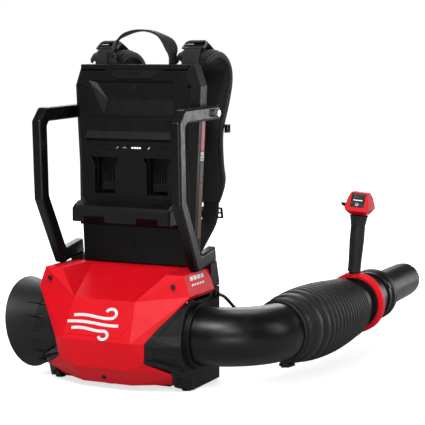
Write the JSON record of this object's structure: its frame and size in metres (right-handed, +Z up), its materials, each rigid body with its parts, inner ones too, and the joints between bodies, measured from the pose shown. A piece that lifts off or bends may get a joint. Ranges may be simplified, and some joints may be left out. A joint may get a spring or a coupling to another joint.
{
  "type": "backpack leaf blower",
  "caption": "Cordless backpack leaf blower: fan housing with side outlet, battery dock on a harness plate, guard handles, bellows hose and blow tube with throttle grip.",
  "frame": {"origin": "floor level under the rear skid of the fan base, midway between the outlet face and the intake face", "axes": "+Y is forward, the way the nozzle blows and the side the wearer's back is on; +X is the outlet side with the hose (the wearer's right); +Z is up"},
  "size_m": [0.5778, 0.904, 0.655],
  "materials": {
    "red_plastic": "satin moulded red",
    "black_plastic": "fine spark-eroded texture",
    "black_rubber": "matt elastomer",
    "display_black": "smooth dark window",
    "steel": "zinc plated",
    "motor_iron": "laminated core",
    "terminal_brass": "bright contact blades",
    "board_green": "coated circuit board",
    "webbing": "woven nylon tape",
    "pad_fabric": "padded polyester with bound edges"
  },
  "bodies": {
    "frame": {"fan_cover": "red_plastic", "outlet_end_housing": "black_plastic", "intake_end_housing": "black_plastic", "base_chassis": "black_plastic", "foot_pads": "black_rubber", "fan_duct": "black_plastic", "stator_hub": "black_plastic", "motor_stator": "motor_iron", "motor_bearings": "steel", "intake_bell": "black_plastic", "intake_grille": "black_plastic", "outlet_collar": "black_plastic", "control_cable": "black_rubber", "cable_grommet": "black_rubber", "back_plate": "black_plastic", "back_plate_rear": "black_plastic", "battery_dock": "black_plastic", "battery_terminals": "terminal_brass", "battery_shelf": "black_plastic", "indicator_lens": "display_black", "control_board": "board_green", "left_handle": "black_plastic", "right_handle": "black_plastic", "handle_bolts": "steel", "cover_screws": "steel", "plate_screws": "steel", "left_shoulder_pad": "pad_fabric", "right_shoulder_pad": "pad_fabric", "lifter_webbing": "webbing", "upper_buckles": "black_plastic", "lower_webbing": "webbing", "lower_buckles": "black_plastic", "sternum_clips": "black_plastic", "back_pad": "pad_fabric"},
    "fan": {"fan_impeller": "black_plastic", "motor_shaft": "steel", "motor_rotor": "steel", "fan_nut": "steel"},
    "elbow": {"elbow_tube": "black_plastic", "rear_clamp_band": "steel"},
    "hose": {"bellows": "black_rubber"},
    "tube": {"blow_tube": "black_plastic", "front_clamp_band": "steel", "cable_clip": "black_plastic"},
    "liner": {"ring_liner": "black_plastic"},
    "handle": {"handle_ring": "red_plastic", "grip_core": "black_plastic", "grip_overmould": "black_rubber", "head_shell": "red_plastic", "display_panel": "display_black", "head_pins": "steel", "trigger_spring": "steel"},
    "clamp_knob": {"ring_clamp_knob": "black_plastic"},
    "power": {"power_button": "display_black"},
    "trigger": {"throttle_trigger": "black_plastic"},
    "lever": {"cruise_lever": "black_plastic"},
    "lock_ring": {"nozzle_lock_ring": "black_plastic"},
    "nozzle_body": {"nozzle": "black_plastic"},
    "loop": {"carry_loop": "webbing"}
  },
  "joints": [
    {"name": "fan_spin", "type": "hinge", "parent": "frame", "child": "fan", "pos_m": [0, -0.082, 0.1], "axis": [1, 0, 0], "continuous": true},
    {"name": "elbow_swivel", "type": "hinge", "parent": "frame", "child": "elbow", "pos_m": [0.15, -0.082, 0.1], "axis": [1, 0, 0], "range_deg": [-35, 45], "deforming": ["control_cable"]},
    {"name": "hose_swing", "type": "hinge", "parent": "elbow", "child": "hose", "pos_m": [0.2849, 0.11, 0.1], "axis": [0, 0, 1], "range_deg": [-15, 15], "deforming": ["bellows", "control_cable"]},
    {"name": "hose_lift", "type": "hinge", "parent": "hose", "child": "tube", "pos_m": [0.2938, 0.22, 0.1], "axis": [1, 0, 0], "range_deg": [-12, 12], "deforming": ["bellows", "control_cable"]},
    {"name": "handle_slide", "type": "slide", "parent": "tube", "child": "liner", "axis": [0, 1, 0], "range_m": [-0.028, 0.05], "deforming": ["control_cable"]},
    {"name": "handle_roll", "type": "hinge", "parent": "liner", "child": "handle", "pos_m": [0.29588, 0.368, 0.1], "axis": [0, 1, 0], "range_deg": [-20, 20], "deforming": ["control_cable"]},
    {"name": "knob_turn", "type": "hinge", "parent": "handle", "child": "clamp_knob", "pos_m": [0.22138, 0.368, 0.1], "axis": [0, 0, 1], "range_deg": [0, 180]},
    {"name": "throttle_pull", "type": "hinge", "parent": "handle", "child": "trigger", "pos_m": [0.30208, 0.382, 0.2901], "axis": [-0.9969, 0, 0.0785], "range_deg": [0, 8], "deforming": ["trigger_spring"]},
    {"name": "cruise_set", "type": "hinge", "parent": "handle", "child": "lever", "pos_m": [0.28186, 0.364, 0.30072], "axis": [0, -1, 0], "range_deg": [0, 40]},
    {"name": "power_press", "type": "slide", "parent": "handle", "child": "power", "axis": [-0.0267, 0.9404, -0.3391], "range_m": [0, 0.001]},
    {"name": "lock_ring_twist", "type": "hinge", "parent": "tube", "child": "lock_ring", "pos_m": [0.29588, 0.466, 0.1], "axis": [0, 1, 0], "range_deg": [0, 30]},
    {"name": "nozzle_pull", "type": "slide", "parent": "tube", "child": "nozzle_body", "axis": [0, 1, 0], "range_m": [0, 0.07]},
    {"name": "loop_fold", "type": "hinge", "parent": "frame", "child": "loop", "pos_m": [0, -0.012, 0.607], "axis": [1, 0, 0], "range_deg": [-10, 75]}
  ]
}
